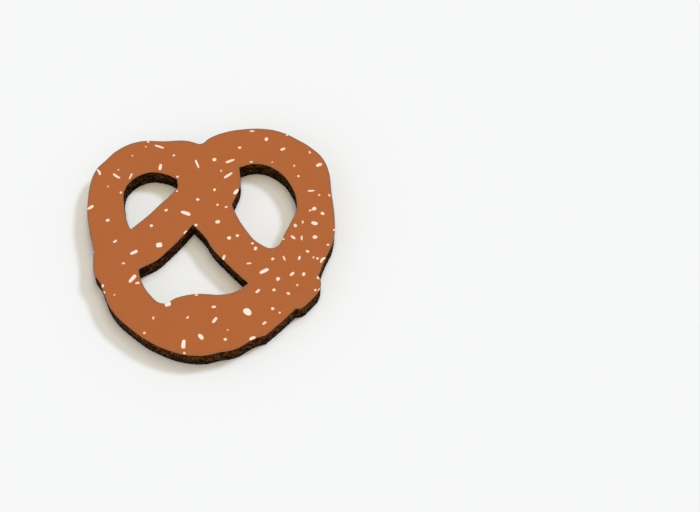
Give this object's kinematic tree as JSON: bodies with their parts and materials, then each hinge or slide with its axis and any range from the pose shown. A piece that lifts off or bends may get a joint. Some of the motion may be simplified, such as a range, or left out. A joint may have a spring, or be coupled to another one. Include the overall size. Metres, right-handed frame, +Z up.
{
  "type": "pretzel-shaped coaster",
  "caption": "Flat pretzel-shaped coaster of pressed cork, open between its strands, with a matte brown printed face with pale salt-like flecks and dark scorched cut edges.",
  "frame": {"origin": "centre of the outline's box, on the surface that the board lies on", "axes": "+Z up out of the printed face, +Y from the pretzel's base to the dip between its loops, +X to the right"},
  "size_m": [0.1018, 0.1011, 0.01],
  "materials": {
    "printed_cork": "matte printed brown face with flat white flecks, near-black scorched cut edges"
  },
  "bodies": {
    "root": {"pretzel_board": "printed_cork"}
  },
  "joints": []
}
